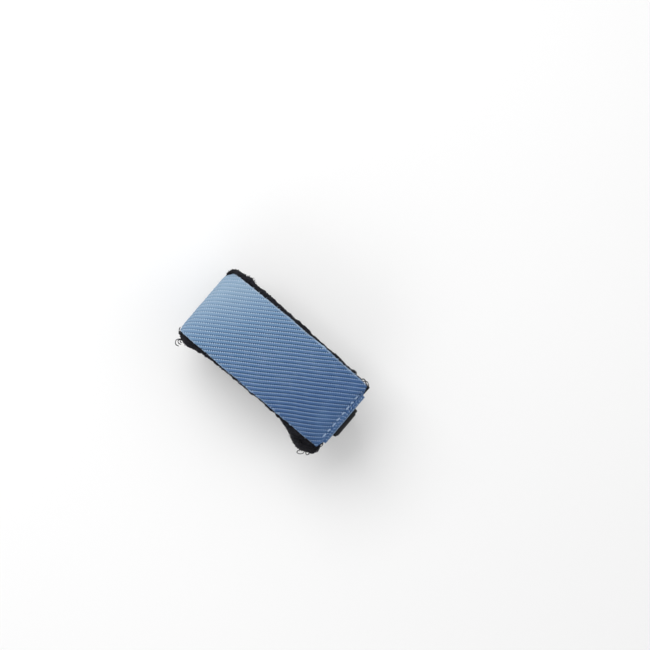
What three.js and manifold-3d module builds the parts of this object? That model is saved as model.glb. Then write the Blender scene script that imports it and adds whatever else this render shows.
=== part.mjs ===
// A cloth wrap that is strapped round a guitar's neck by the nut, over the strings, to damp them.
// A denim band with a black pile lining lies over the strings and down one side of the neck.
// A webbing tab at the other end holds a ring, and a narrow strap comes round the back of the
// neck, turns through the ring and is closed on itself by hook and loop tape.
//
// Millimetres. +X runs across the neck towards the ring, +Y along the neck towards the headstock
// and +Z up, out of the denim face. The origin is under the middle of the wrap's box, on the
// surface that the back strap stands on.

import * as THREE from 'three';
import { mergeVertices } from 'three/addons/utils/BufferGeometryUtils.js';
import Module from 'manifold-3d';

const wasm = await Module();
wasm.setup();

// Driving dimensions
const denim = { thick: 0.9, wide: 23.7, hemWide: 18.6 };
const felt = { thick: 0.9, wide: 22.6 };
const lining = { thick: 1.9, wide: 25.8 };
const strap = { thick: 1.0, wide: 10.4 };
const tape = { thick: 1.0, wide: 10.0 };
const bar = { thick: 2.0, corner: 0.6 };
const ply = 0.1;            // air between two cloths that lie on each other
const seamRoom = 0.15;      // air round a webbing end that is caught in a hem
const barRoom = 0.25;       // air between a bar of the ring and what turns round it
const partRoom = 0.3;       // air between two pieces that move apart
const insideHeight = 23.2;  // back of the neck to the top of the strings
const halfSpan = 27.8;      // middle of the neck to the hem's fold
const wallSpan = 29.2;      // middle of the neck to the denim down its other side
const strapAside = -1.0;    // how far off the band's middle the tab, ring and strap lie
const bend = 5.05;          // radius of the denim's middle where it turns down the neck's side
const slotHigh = 3.6;
const slotWide = strap.wide + 1.2;
const hemRise = 0.76;       // how far the hem end droops below the flat of the face
const hemDroop = THREE.MathUtils.degToRad(7);
const wallLean = THREE.MathUtils.degToRad(5);
const wallLength = 13.5;
const foldLength = 6.5;
const stitchInset = 1.95;   // hem's edge to its row of stitches

// Levels of the middle of each layer over the strings
const liningLevel = strap.thick + insideHeight + lining.thick / 2;
const feltLevel = liningLevel + lining.thick / 2 + ply + felt.thick / 2;
const denimLevel = feltLevel + felt.thick / 2 + ply + denim.thick / 2;

// Distances from the middle of the denim to the middle of what lies behind it in a hem
const foldDepth = denim.thick + 2 * ply;
const webDepth = foldDepth + denim.thick / 2 + seamRoom + strap.thick / 2;
const secondWebDepth = webDepth + strap.thick + seamRoom;

// Places on the drooping hem end: back from its edge and under the middle of the denim
const hemEnd = new THREE.Vector2(halfSpan - denim.thick / 2, denimLevel - hemRise);
function onHem(back, under) {
  const along = new THREE.Vector2(Math.cos(hemDroop), -Math.sin(hemDroop));
  const down = new THREE.Vector2(along.y, -along.x);
  return hemEnd.clone().addScaledVector(along, -back).addScaledVector(down, under);
}

// Places on the wall at the neck's other side: down from the bend and inward from the denim
const wallTop = new THREE.Vector2(-wallSpan + denim.thick / 2, denimLevel - bend);
function onWall(down, inward) {
  const along = new THREE.Vector2(Math.sin(wallLean), -Math.cos(wallLean));
  const inside = new THREE.Vector2(-along.y, along.x);
  return wallTop.clone().addScaledVector(along, down).addScaledVector(inside, inward);
}

// The line through two places, met at a height or at a distance across
function atLevel(a, b, level) {
  return a.clone().lerp(b, (level - a.y) / (b.y - a.y));
}
function atAcross(a, b, across) {
  return a.clone().lerp(b, (across - a.x) / (b.x - a.x));
}

// A line of straight runs between corners, each corner rounded to its radius
function course(...corners) {
  const places = corners.map(([place]) => place);
  const line = [places[0]];
  for (let i = 1; i < corners.length - 1; i += 1) {
    const radius = corners[i][1];
    const before = places[i - 1].clone().sub(places[i]).normalize();
    const after = places[i + 1].clone().sub(places[i]).normalize();
    const turn = Math.PI - Math.acos(THREE.MathUtils.clamp(before.dot(after), -1, 1));
    const reach = radius * Math.tan(turn / 2);
    const start = places[i].clone().addScaledVector(before, reach);
    const middle = before.clone().add(after).normalize();
    const centre = places[i].clone().addScaledVector(middle, radius / Math.cos(turn / 2));
    const spoke = start.clone().sub(centre);
    const side = Math.sign(before.cross(after)) * -1;
    const steps = Math.max(3, Math.ceil(turn / THREE.MathUtils.degToRad(9)));
    for (let k = 0; k <= steps; k += 1) {
      const point = spoke.clone().rotateAround(new THREE.Vector2(), (side * turn * k) / steps);
      line.push(point.add(centre));
    }
  }
  line.push(places.at(-1));
  return line.filter((p, i) => i === 0 || p.distanceTo(line[i - 1]) > 1e-4);
}

// Each place's sideways direction, to the left of the way that the line runs
function leftOf(line) {
  return line.map((_, i) => {
    const back = line[i].clone().sub(line[Math.max(i - 1, 0)]).normalize();
    const on = line[Math.min(i + 1, line.length - 1)].clone().sub(line[i]).normalize();
    const along = back.add(on).normalize();
    return new THREE.Vector2(-along.y, along.x);
  });
}

function shifted(line, distance) {
  const left = leftOf(line);
  return line.map((p, i) => p.clone().addScaledVector(left[i], distance));
}

function lengthOf(line) {
  return line.slice(1).reduce((sum, p, i) => sum + p.distanceTo(line[i]), 0);
}

// The stretch of a line from one distance along it to another
function stretch(line, from, to) {
  const kept = [];
  let done = 0;
  for (let i = 1; i < line.length; i += 1) {
    const length = line[i].distanceTo(line[i - 1]);
    const place = (distance) => line[i - 1].clone().lerp(line[i], (distance - done) / length);
    if (from >= done && from < done + length) kept.push(place(from));
    if (kept.length && to <= done + length) return [...kept, place(to)];
    if (kept.length) kept.push(line[i]);
    done += length;
  }
  return kept;
}

// A flat band of cloth or webbing that follows a line, centred on the neck's length
function bandGeometry(line, thick, wide) {
  const outline = [...shifted(line, thick / 2), ...shifted(line, -thick / 2).reverse()];
  const geometry = new THREE.ExtrudeGeometry(new THREE.Shape(outline), {
    depth: wide, steps: 1, bevelEnabled: false, curveSegments: 1,
  });
  return geometry.rotateX(Math.PI / 2).translate(0, wide / 2, 0);
}

// One run of sewn thread: a row of raised stitches, flat underneath, lying along Y
const thread = { wide: 0.45, high: 0.42, dip: 0.2, sunk: 0.28, groove: 0.75 };
function threadGeometry(length, stitches) {
  const shape = new THREE.Shape();
  const stepsEach = 6;
  shape.moveTo(-length / 2, 0);
  for (let k = 0; k <= stitches * stepsEach; k += 1) {
    const lift = Math.abs(Math.sin((Math.PI * k) / stepsEach));
    const height = thread.dip + (thread.high - thread.dip) * lift;
    shape.lineTo(-length / 2 + (length * k) / (stitches * stepsEach), height);
  }
  shape.lineTo(length / 2, 0);
  const settings = { depth: thread.wide, steps: 1, bevelEnabled: false };
  const geometry = new THREE.ExtrudeGeometry(shape, settings);
  return geometry.translate(0, 0, -thread.wide / 2).rotateX(Math.PI / 2).rotateZ(Math.PI / 2);
}

function toManifold(geometry) {
  const bare = geometry.clone();
  bare.deleteAttribute('normal');
  bare.deleteAttribute('uv');
  const merged = mergeVertices(bare, 1e-5);
  return new wasm.Manifold(new wasm.Mesh({
    numProp: 3,
    vertProperties: new Float32Array(merged.attributes.position.array),
    triVerts: new Uint32Array(merged.index.array),
  }));
}

function fromManifold(solid) {
  const mesh = solid.getMesh();
  const geometry = new THREE.BufferGeometry();
  geometry.setAttribute('position', new THREE.BufferAttribute(mesh.vertProperties, 3));
  geometry.setIndex(new THREE.BufferAttribute(mesh.triVerts, 1));
  return geometry;
}

function cutBy(geometry, ...cutters) {
  const solid = cutters.reduce((left, c) => left.subtract(toManifold(c)), toManifold(geometry));
  return fromManifold(solid);
}

// Materials
const blueDenim = { color: 0x6f93c4, roughness: 0.95, metalness: 0 };
const greyFelt = { color: 0x3a3a3d, roughness: 1, metalness: 0 };
const blackPile = { color: 0x111114, roughness: 1, metalness: 0 };
const blackWebbing = { color: 0x1a1a1c, roughness: 0.8, metalness: 0 };
const blackPlastic = { color: 0x0f0f10, roughness: 0.45, metalness: 0 };
const paleThread = { color: 0xb9cbe2, roughness: 0.85, metalness: 0 };
const blackThread = { color: 0x1d1d20, roughness: 0.8, metalness: 0 };

function piece(name, geometry, looks) {
  const mesh = new THREE.Mesh(geometry, new THREE.MeshStandardMaterial(looks));
  mesh.name = name;
  return mesh;
}

// Rows of stitches: a place on a face, the slope of the face there, and the thread that lies in it
function seam(place, outward, length, stitches) {
  const turn = Math.atan2(outward.x, outward.y);
  const base = place.clone().addScaledVector(outward, -thread.sunk);
  const put = (geometry) => geometry.rotateY(turn).translate(base.x, 0, base.y);
  const grooveDeep = 1;
  const groove = new THREE.BoxGeometry(thread.groove, length + 2 * partRoom, grooveDeep);
  return {
    groove: put(groove.translate(0, 0, grooveDeep / 2 - 0.04)),
    place: new THREE.Vector3(base.x, 0, base.y),
    turn,
    length,
    stitches,
  };
}

function seamThread(name, row, looks, origin = new THREE.Vector3()) {
  const mesh = piece(name, threadGeometry(row.length, row.stitches), looks);
  mesh.position.copy(row.place).sub(origin);
  mesh.rotation.y = row.turn;
  return mesh;
}

const hemRow = seam(
  onHem(stitchInset - denim.thick / 2, -denim.thick / 2),
  new THREE.Vector2(Math.sin(hemDroop), Math.cos(hemDroop)),
  denim.hemWide - 1.2,
  8,
);
const wallRow = seam(
  onWall(wallLength - stitchInset + denim.thick / 2, -denim.thick / 2),
  new THREE.Vector2(-Math.cos(wallLean), -Math.sin(wallLean)),
  denim.wide - 2.4,
  10,
);

// Denim face: folded under at the hem end, flat over the strings, down the wall, folded in again
function denimFace() {
  const slopeTop = hemEnd.x - hemRise / Math.tan(hemDroop);
  const line = course(
    [onHem(foldLength, foldDepth)],
    [onHem(0, foldDepth), foldDepth / 2],
    [onHem(0, 0), foldDepth / 2],
    [new THREE.Vector2(slopeTop, denimLevel), 12],
    [atLevel(wallTop, onWall(1, 0), denimLevel), bend],
    [onWall(wallLength, 0), foldDepth / 2],
    [onWall(wallLength, foldDepth), foldDepth / 2],
    [onWall(wallLength - foldLength, foldDepth)],
  );
  const geometry = bandGeometry(line, denim.thick, denim.wide);
  const corners = [-1, 1].map(drawnInCorner);
  return piece('denim_face', cutBy(geometry, hemRow.groove, wallRow.groove, ...corners), blueDenim);
}

// What is missing at each end of the hem's fold, where its corner is drawn in past the stitches
function drawnInCorner(side) {
  const from = halfSpan - stitchInset + 0.45;
  const beyond = halfSpan + 1;
  const outline = [
    [from, denim.wide / 2 + 1],
    [from, denim.wide / 2 - 0.5],
    [from + 0.6, denim.hemWide / 2 + 0.3],
    [beyond, denim.hemWide / 2 - 0.3],
    [beyond, denim.wide / 2 + 1],
  ];
  const shape = new THREE.Shape(outline.map(([x, y]) => new THREE.Vector2(x, side * y)));
  const height = 8;
  const geometry = new THREE.ExtrudeGeometry(shape, { depth: height, bevelEnabled: false });
  return geometry.translate(0, 0, denimLevel - height + 1);
}

// Felt pad between the denim and the lining, clear of both hems
function feltPad() {
  const inward = feltLevel - denimLevel;
  const line = course(
    [new THREE.Vector2(onHem(foldLength, 0).x - 1.2, feltLevel)],
    [atLevel(onWall(0, -inward), onWall(1, -inward), feltLevel), bend + inward],
    [onWall(wallLength - foldLength - 1, -inward)],
  );
  return piece('felt_pad', bandGeometry(line, felt.thick, felt.wide), greyFelt);
}

// Pile lining: flat on the strings, let down past the tab at one end and the strap at the other
function pileLining() {
  const thinStack = denimLevel - liningLevel;
  const clear = seamRoom + (strap.thick + lining.thick) / 2;
  const hemStack = secondWebDepth + clear;
  const wallStack = webDepth + clear;
  const line = course(
    [onHem(0.4, hemStack)],
    [onHem(tabEnd + 1.3, hemStack), 1.6],
    [new THREE.Vector2(onHem(tabEnd + 4.8, 0).x, liningLevel), 2.4],
    [atLevel(onWall(0, thinStack), onWall(1, thinStack), liningLevel), bend - thinStack],
    [onWall(wallLength - foldLength - 4, thinStack), 2.5],
    [onWall(wallLength - foldLength - 1, wallStack), 2.5],
    [onWall(wallLength - 0.4, wallStack)],
  );
  const notch = new THREE.BoxGeometry(6, slotWide + 2 * (bar.thick + partRoom), 8);
  notch.translate(ringX - tabTurn - strap.thick / 2 - partRoom + 3, strapAside, liningLevel - 3);
  const geometry = bandGeometry(line, lining.thick, lining.wide);
  return piece('pile_lining', cutBy(geometry, notch), blackPile);
}

// Webbing tab: both ends in the hem, looped round the ring's upper bar
const tabTurn = bar.thick / 2 + barRoom + strap.thick / 2;
const tabReach = 1.4;       // how far the tab stands out past the hem's edge
const ringX = halfSpan + tabReach - strap.thick / 2 - tabTurn;
const ringTop = 22.1;
const ringLow = ringTop - bar.thick - slotHigh;
const tabEnd = 4.6;         // how far its ends reach in from the hem's edge
function webbingTab() {
  const line = course(
    [onHem(tabEnd, webDepth)],
    [atAcross(onHem(0, webDepth), onHem(1, webDepth), ringX + tabTurn), 1],
    [new THREE.Vector2(ringX + tabTurn, ringTop - tabTurn), tabTurn],
    [new THREE.Vector2(ringX - tabTurn, ringTop - tabTurn), tabTurn],
    [atAcross(onHem(0, secondWebDepth), onHem(1, secondWebDepth), ringX - tabTurn), 1],
    [onHem(tabEnd, secondWebDepth)],
  );
  return piece('ring_tab', bandGeometry(line, strap.thick, strap.wide), blackWebbing);
}

// Ring: an oblong frame with softened edges, standing in the plane across the neck's side
function strapRing() {
  const high = slotHigh + 2 * bar.thick;
  const wide = slotWide + 2 * bar.thick;
  const roundedBox = (w, h, r) => {
    const shape = new THREE.Shape();
    shape.absarc(w / 2 - r, h / 2 - r, r, 0, Math.PI / 2);
    shape.absarc(-w / 2 + r, h / 2 - r, r, Math.PI / 2, Math.PI);
    shape.absarc(-w / 2 + r, -h / 2 + r, r, Math.PI, 1.5 * Math.PI);
    shape.absarc(w / 2 - r, -h / 2 + r, r, 1.5 * Math.PI, 2 * Math.PI);
    return shape;
  };
  const soft = 0.45;
  const shape = roundedBox(wide - 2 * soft, high - 2 * soft, 1.8 - soft);
  shape.holes.push(roundedBox(slotWide + 2 * soft, slotHigh + 2 * soft, bar.corner + soft));
  const geometry = new THREE.ExtrudeGeometry(shape, {
    depth: bar.thick - 2 * soft, steps: 1, curveSegments: 4,
    bevelEnabled: true, bevelSize: soft, bevelThickness: soft, bevelSegments: 2,
  });
  geometry.translate(0, 0, soft - bar.thick / 2).rotateY(Math.PI / 2).rotateX(Math.PI / 2);
  const ring = piece('strap_ring', geometry, blackPlastic);
  ring.position.set(ringX, 0, (ringTop + ringLow) / 2);
  return ring;
}

// Back strap: from the wall's hem round the back of the neck and up to the ring
const splitLevel = ringLow - bar.thick / 2 + 0.2;
const backCorner = 12;
const upLine = course(
  [new THREE.Vector2(ringX - tabTurn, splitLevel - partRoom)],
  [new THREE.Vector2(ringX - tabTurn - 0.8, 8), backCorner],
  [new THREE.Vector2(15.5, strap.thick / 2), backCorner],
  [new THREE.Vector2(0, strap.thick / 2)],
);
const acrossLine = course(
  [new THREE.Vector2(0, strap.thick / 2)],
  [new THREE.Vector2(-15.5, strap.thick / 2), backCorner],
  [onWall(wallLength + 3.6, webDepth), 7],
  [onWall(wallLength - foldLength + 0.6, webDepth)],
);

// Tail: the strap's end, folded back outside the ring and lying over the closing tapes
const tailOffset = 2 * tabTurn;
const tailFrom = 0.05;
const tailLong = 13.2;
const tailLine = shifted(stretch(upLine, tailFrom, tailLong), tailOffset);
const hookOffset = tailOffset - strap.thick / 2 - ply - tape.thick / 2;
const hookLine = shifted(stretch(upLine, 3.4, tailLong - 0.4), hookOffset);
const loopOffset = strap.thick / 2 + ply + tape.thick / 2;
const loopLine = shifted(stretch(upLine, 0.8, tailLong + 2.2), loopOffset);

// Rows of stitches across a band's left face, at distances along its line
const tapeStitches = 4;
const tapeSeam = tape.wide - 1.4;
function rowsOn(line, thick, distances) {
  return distances.map((distance) => {
    const [a, b] = stretch(line, distance, distance + 0.2);
    const outward = leftOf([a, b])[0];
    return seam(a.addScaledVector(outward, thick / 2), outward, tapeSeam, tapeStitches);
  });
}
const hookRows = rowsOn(tailLine, strap.thick, [4.8, lengthOf(tailLine) - 1.6]);
const loopRows = rowsOn(loopLine, tape.thick, [1.2, lengthOf(loopLine) - 1.2]);

function backStrap() {
  const line = [...upLine.slice(0, -1), ...acrossLine];
  return piece('back_strap', bandGeometry(line, strap.thick, strap.wide), blackWebbing);
}

function loopTape() {
  const geometry = cutBy(bandGeometry(loopLine, tape.thick, tape.wide), ...loopRows.map((r) => r.groove));
  return piece('loop_tape', geometry, blackPile);
}

function strapTurn() {
  const line = course(
    [new THREE.Vector2(ringX - tabTurn, splitLevel)],
    [new THREE.Vector2(ringX - tabTurn, ringLow + tabTurn), tabTurn],
    [new THREE.Vector2(ringX + tabTurn, ringLow + tabTurn), tabTurn],
    [new THREE.Vector2(ringX + tabTurn, splitLevel)],
  );
  return piece('strap_turn', bandGeometry(line, strap.thick, strap.wide), blackWebbing);
}

function strapTail() {
  const geometry = bandGeometry(tailLine, strap.thick, strap.wide);
  return piece('strap_tail', cutBy(geometry, ...hookRows.map((r) => r.groove)), blackWebbing);
}

function hookTape() {
  return piece('hook_tape', bandGeometry(hookLine, tape.thick, tape.wide), blackPlastic);
}

// What closes the wrap: the tab, the ring, the strap and its tapes
const closing = new THREE.Group();
closing.add(
  webbingTab(),
  strapRing(),
  backStrap(),
  loopTape(),
  ...loopRows.map((row, i) => seamThread(`loop_thread_${i + 1}`, row, blackThread)),
  strapTurn(),
  strapTail(),
  hookTape(),
  ...hookRows.map((row, i) => seamThread(`hook_thread_${i + 1}`, row, blackThread)),
);
closing.position.y = strapAside;

const wrap = new THREE.Group();
wrap.add(
  denimFace(),
  feltPad(),
  pileLining(),
  seamThread('hem_thread', hemRow, paleThread),
  seamThread('wall_thread', wallRow, paleThread),
  closing,
);

// The wrap stands with the middle of its box over the origin
const span = new THREE.Box3().setFromObject(wrap, true);
wrap.position.x = -(span.min.x + span.max.x) / 2;

const group = new THREE.Group();
group.add(wrap);

export default group;
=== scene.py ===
"""A denim string-mute wrap for a guitar neck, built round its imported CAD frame.

The wrap's shape is drawn in millimetres in a plane across the neck, with x = 0 over the middle of
the neck and z up from the surface it stands on. place() takes those drawings to the row frame,
still in millimetres, and mesh_object() makes them metres. A rail is a line's places, the distances
along it and the way out of the band's face at each.
"""

import math

import bpy
import numpy as np
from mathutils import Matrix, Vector


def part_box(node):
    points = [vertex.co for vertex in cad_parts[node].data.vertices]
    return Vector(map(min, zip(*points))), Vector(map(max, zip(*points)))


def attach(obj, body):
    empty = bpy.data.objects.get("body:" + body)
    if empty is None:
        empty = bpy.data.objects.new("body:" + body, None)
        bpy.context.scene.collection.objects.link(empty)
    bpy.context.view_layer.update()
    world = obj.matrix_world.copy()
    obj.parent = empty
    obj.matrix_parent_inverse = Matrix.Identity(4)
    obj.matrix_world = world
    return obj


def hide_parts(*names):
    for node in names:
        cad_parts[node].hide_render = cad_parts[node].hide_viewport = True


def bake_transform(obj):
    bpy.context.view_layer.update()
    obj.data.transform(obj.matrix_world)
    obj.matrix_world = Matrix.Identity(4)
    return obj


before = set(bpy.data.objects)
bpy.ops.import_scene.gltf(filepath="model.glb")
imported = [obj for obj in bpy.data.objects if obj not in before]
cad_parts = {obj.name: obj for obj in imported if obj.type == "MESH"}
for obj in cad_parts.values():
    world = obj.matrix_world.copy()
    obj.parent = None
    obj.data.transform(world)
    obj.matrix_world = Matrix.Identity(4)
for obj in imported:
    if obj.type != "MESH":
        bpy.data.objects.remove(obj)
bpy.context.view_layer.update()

MM = 0.001
UV_SCALE = 0.01  # UV units per millimetre of cloth

# ---- the wrap's driving dimensions
DENIM_THICK, DENIM_WIDE, HEM_WIDE = 0.9, 23.7, 18.6
FELT_THICK, FELT_WIDE = 0.9, 22.6
LINING_THICK, LINING_WIDE = 1.9, 25.8
STRAP_THICK, STRAP_WIDE = 1.0, 10.4
TAPE_THICK, TAPE_WIDE = 1.0, 10.0
BAR_THICK, SLOT_HIGH = 2.0, 3.6
PLY, SEAM_ROOM, BAR_ROOM, PART_ROOM = 0.1, 0.15, 0.25, 0.3
INSIDE_HEIGHT, HALF_SPAN, WALL_SPAN, BEND = 23.2, 27.8, 29.2, 5.05
STRAP_ASIDE = -1.0
HEM_RISE, HEM_DROOP, WALL_LEAN = 0.76, math.radians(7), math.radians(5)
WALL_LENGTH, FOLD_LENGTH, TAB_END = 13.5, 6.5, 4.6
STITCH_INSET = 1.95
RING_TOP = 22.1

LINING_LEVEL = STRAP_THICK + INSIDE_HEIGHT + LINING_THICK / 2
FELT_LEVEL = LINING_LEVEL + LINING_THICK / 2 + PLY + FELT_THICK / 2
DENIM_LEVEL = FELT_LEVEL + FELT_THICK / 2 + PLY + DENIM_THICK / 2
FOLD_DEPTH = DENIM_THICK + 2 * PLY
WEB_DEPTH = FOLD_DEPTH + DENIM_THICK / 2 + SEAM_ROOM + STRAP_THICK / 2
SECOND_WEB_DEPTH = WEB_DEPTH + STRAP_THICK + SEAM_ROOM
TAB_TURN = BAR_THICK / 2 + BAR_ROOM + STRAP_THICK / 2
RING_X = HALF_SPAN + 1.4 - STRAP_THICK / 2 - TAB_TURN
RING_LOW = RING_TOP - BAR_THICK - SLOT_HIGH
SPLIT_LEVEL = RING_LOW - BAR_THICK / 2 + 0.2
DENIM_EDGE = DENIM_WIDE / 2
INNER_X, OUTER_X = RING_X - TAB_TURN, RING_X + TAB_TURN  # the webbing on either side of the ring
WALL_FOLD = WALL_LENGTH - FOLD_LENGTH

ring_low, ring_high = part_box("strap_ring")
SHIFT_X = (ring_low.x + ring_high.x) / 2 / MM - RING_X  # the drawing's middle in the row frame

# Denim weave, a 3 and 1 twill: its warp ends run along the band, a little off its length
WARP_PITCH, WEFT_PITCH, GRAIN = 0.34, 0.58, math.radians(3.4)
TWILL = 4  # picks in one repeat
RIB_PITCH = 0.52  # of the webbing

# Where the strap bends between two bodies: the bodies, then the bend's start and end
STRAP_BEND = ((INNER_X - 6, 6), (INNER_X + 0.4, RING_LOW - 0.6))
TAIL_FOLD = ((OUTER_X, 16.25), (OUTER_X, 14.7))
BENDS = {
    name: (*bodies, *([(x + SHIFT_X) * MM, STRAP_ASIDE * MM, z * MM] for x, z in places))
    for name, bodies, places in (
        ("strap bend", ("band", "ring"), STRAP_BEND),
        ("tail fold", ("ring", "tail"), TAIL_FOLD),
    )
}

# The denim's edge by the headstock bows out: as far as BOW_MIDDLE at x = BOW_CENTRE, and less
# by BOW_FALL at BOW_REACH from there
BOW_MIDDLE, BOW_FALL, BOW_CENTRE, BOW_REACH = 0.85, 0.4, 1.7, 26.0


# ---- lines in the drawing plane
def on_hem(back, under):
    """A place in the hem end: back from its edge and under the middle of the denim."""
    along = np.array([math.cos(HEM_DROOP), -math.sin(HEM_DROOP)])
    down = np.array([along[1], -along[0]])
    edge = np.array([HALF_SPAN - DENIM_THICK / 2, DENIM_LEVEL - HEM_RISE])
    return edge - along * back + down * under


def on_wall(down, inward):
    """A place in the wall at the neck's other side: down from the bend, inward from the denim."""
    along = np.array([math.sin(WALL_LEAN), -math.cos(WALL_LEAN)])
    inside = np.array([-along[1], along[0]])
    top = np.array([-WALL_SPAN + DENIM_THICK / 2, DENIM_LEVEL - BEND])
    return top + along * down + inside * inward


def bend_corner(inward):
    """The corner between the face and the wall, inward from the denim, and its radius."""
    a, b = on_wall(0, inward), on_wall(1, inward)
    return a + (b - a) * (DENIM_LEVEL - inward - a[1]) / (b[1] - a[1]), BEND - inward


def hem_at(x, under):
    a, b = on_hem(0, under), on_hem(1, under)
    return a + (b - a) * (x - a[0]) / (b[0] - a[0])


def course(*corners):
    """A line of straight runs between corners, each corner rounded to its radius."""
    places = [np.array(c[0], float) for c in corners]
    line = [places[0]]
    for i in range(1, len(corners) - 1):
        before = places[i - 1] - places[i]
        after = places[i + 1] - places[i]
        before, after = before / np.linalg.norm(before), after / np.linalg.norm(after)
        turn = math.pi - math.acos(np.clip(before @ after, -1, 1))
        radius = corners[i][1]
        middle = (before + after) / np.linalg.norm(before + after)
        centre = places[i] + middle * radius / math.cos(turn / 2)
        spoke = places[i] + before * radius * math.tan(turn / 2) - centre
        side = -np.sign(before[0] * after[1] - before[1] * after[0])
        angle = side * turn * np.linspace(0, 1, max(4, int(turn / math.radians(3))))
        line.extend(centre + spokes(angle, spoke, np.array([-spoke[1], spoke[0]])))
    line.append(places[-1])
    keep = [p for i, p in enumerate(line) if i == 0 or np.linalg.norm(p - line[i - 1]) > 1e-5]
    return np.array(keep)


def unit(vectors):
    return vectors / (np.linalg.norm(vectors, axis=-1, keepdims=True) + 1e-12)


def left_of(along):
    along = unit(along)
    return np.stack([-along[:, 1], along[:, 0]], 1)


def at_distances(at, s, values):
    """Flat values at some distances, from those at the distances s."""
    return np.stack([np.interp(at, s, values[:, i]) for i in (0, 1)], 1)


def spaced(line, step):
    """The line's places a step apart, their distances along it and their left-hand sides."""
    lengths = np.linalg.norm(np.diff(line, axis=0), axis=1)
    reach = np.concatenate([[0], np.cumsum(lengths)])
    s = np.linspace(0, reach[-1], max(2, int(round(reach[-1] / step)) + 1))
    points = at_distances(s, reach, line)
    return points, s, left_of(np.gradient(points, s, axis=0))


def shifted(line, distance):
    return line + distance * left_of(np.gradient(line, axis=0))


def stretch(line, start, end):
    points, s, _ = spaced(line, 0.1)
    return points[(s >= start) & (s <= end)]


def upright(flat, y=0.0):
    """Flat (x, z) values with distances along the neck, as (x, y, z)."""
    return np.stack(np.broadcast_arrays(flat[..., 0], y, flat[..., 1]), -1)


def place(flat, y):
    """Drawing places and distances along the neck, in the row frame."""
    return upright(flat + [SHIFT_X, 0], y)


def smooth(low, high, value):
    t = np.clip((value - low) / (high - low), 0, 1)
    return t * t * (3 - 2 * t)


def bell(centre, width, value):
    return np.exp(-(((value - centre) / width) ** 2))


def ripple(a, b, wave, seed, turns=5):
    """Slow uneven hills over two coordinates, about -1 to 1, of roughly one wavelength."""
    rng = np.random.default_rng(seed)
    total = np.zeros(np.broadcast(a, b).shape)
    for _ in range(turns):
        angle, phase = rng.uniform(0, 2 * math.pi, 2)
        length = wave * rng.uniform(0.7, 1.5)
        total = total + np.sin((a * math.cos(angle) + b * math.sin(angle)) * 2 * math.pi / length + phase)
    return total / math.sqrt(turns)


# ---- meshes
def add_object(name, data):
    obj = bpy.data.objects.new(name, data)
    bpy.context.scene.collection.objects.link(obj)
    return obj


def mesh_object(name, verts, faces, material, uv=None):
    """A smooth mesh from places in millimetres and arrays of faces, with UVs by vertex."""
    mesh = bpy.data.meshes.new(name)
    faces = [np.asarray(f, np.int64).reshape(-1, np.shape(f)[-1]) for f in faces if len(f)]
    loops = np.concatenate([f.ravel() for f in faces]).astype(np.int32)
    sizes = np.concatenate([np.full(len(f), f.shape[1]) for f in faces])
    starts = (np.cumsum(sizes) - sizes).astype(np.int32)
    verts = (np.asarray(verts).reshape(-1, 3) * MM).astype(np.float32)
    mesh.vertices.add(len(verts))
    mesh.vertices.foreach_set("co", verts.ravel())
    mesh.loops.add(len(loops))
    mesh.loops.foreach_set("vertex_index", loops)
    mesh.polygons.add(len(sizes))
    mesh.polygons.foreach_set("loop_start", starts)
    mesh.polygons.foreach_set("use_smooth", np.ones(len(sizes), bool))
    if uv is not None:
        layer = mesh.uv_layers.new(name="cloth")
        layer.data.foreach_set("uv", (np.asarray(uv)[loops] * UV_SCALE).astype(np.float32).ravel())
    mesh.update(calc_edges=True)
    mesh.validate()
    mesh.materials.append(material)
    return add_object(name, mesh)


def settle(obj, slot, follow, *nodes):
    """Ties a piece to the body that it follows, or bakes its transform in place where it follows a bend,
    and hides its CAD nodes. The slot is not used.
    """
    if follow in BENDS:
        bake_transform(obj)
    else:
        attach(obj, follow)
    if nodes:
        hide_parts(*nodes)
    return obj


def quads(a, b):
    """Quads between rings of vertex numbers that run along the last axis."""
    return np.stack([a, np.roll(a, -1, -1), np.roll(b, -1, -1), b], -1).reshape(-1, 4)


def skin(sections):
    """Quads over a row of closed sections, with a face across either end."""
    index = np.arange(sections[..., 0].size).reshape(sections.shape[:2])
    return [quads(index[:-1], index[1:]), index[0][::-1][None], index[-1][None]]


def spokes(angle, a, b):
    return np.cos(angle)[..., None] * a + np.sin(angle)[..., None] * b


def tubes(paths, radius, sides, taper=0.35):
    """Vertices and faces of thin round tubes along paths (count, places, 3), narrower at the tips."""
    paths = np.asarray(paths)
    count, rows = paths.shape[:2]
    along = unit(np.gradient(paths, axis=1))
    steep = np.abs(along[:, :1, 2:3]) >= 0.8
    side = unit(np.cross(along, np.where(steep, [1.0, 0.0, 0.0], [0.0, 0.0, 1.0])))
    thin = np.ones(rows)
    thin[[0, -1]] = taper
    radii = np.reshape(radius, (-1, 1)) * thin
    angle = np.arange(sides) * 2 * math.pi / sides
    ring = spokes(angle, side[:, :, None], np.cross(along, side)[:, :, None])
    verts = paths[:, :, None] + ring * radii[:, :, None, None]
    index = np.arange(count * rows * sides).reshape(count, rows, sides)
    faces = [quads(index[:, :-1], index[:, 1:]), index[:, 0, ::-1], index[:, -1]]
    return verts.reshape(-1, 3), faces


def merged(parts):
    """Several (vertices, faces) as one."""
    verts, faces, first = [], [], 0
    for part_verts, part_faces in parts:
        verts.append(part_verts)
        faces.extend(f + first for f in part_faces)
        first += len(part_verts)
    return np.concatenate(verts), faces


# ---- shader helpers
def maths(operation, back=False):
    """A method that does an operation on a value and the other one, or the other way round."""
    def method(self, *other):
        values = (*other, self) if back else (self, *other)
        return self.nodes.math(operation, *values)

    return method


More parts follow.
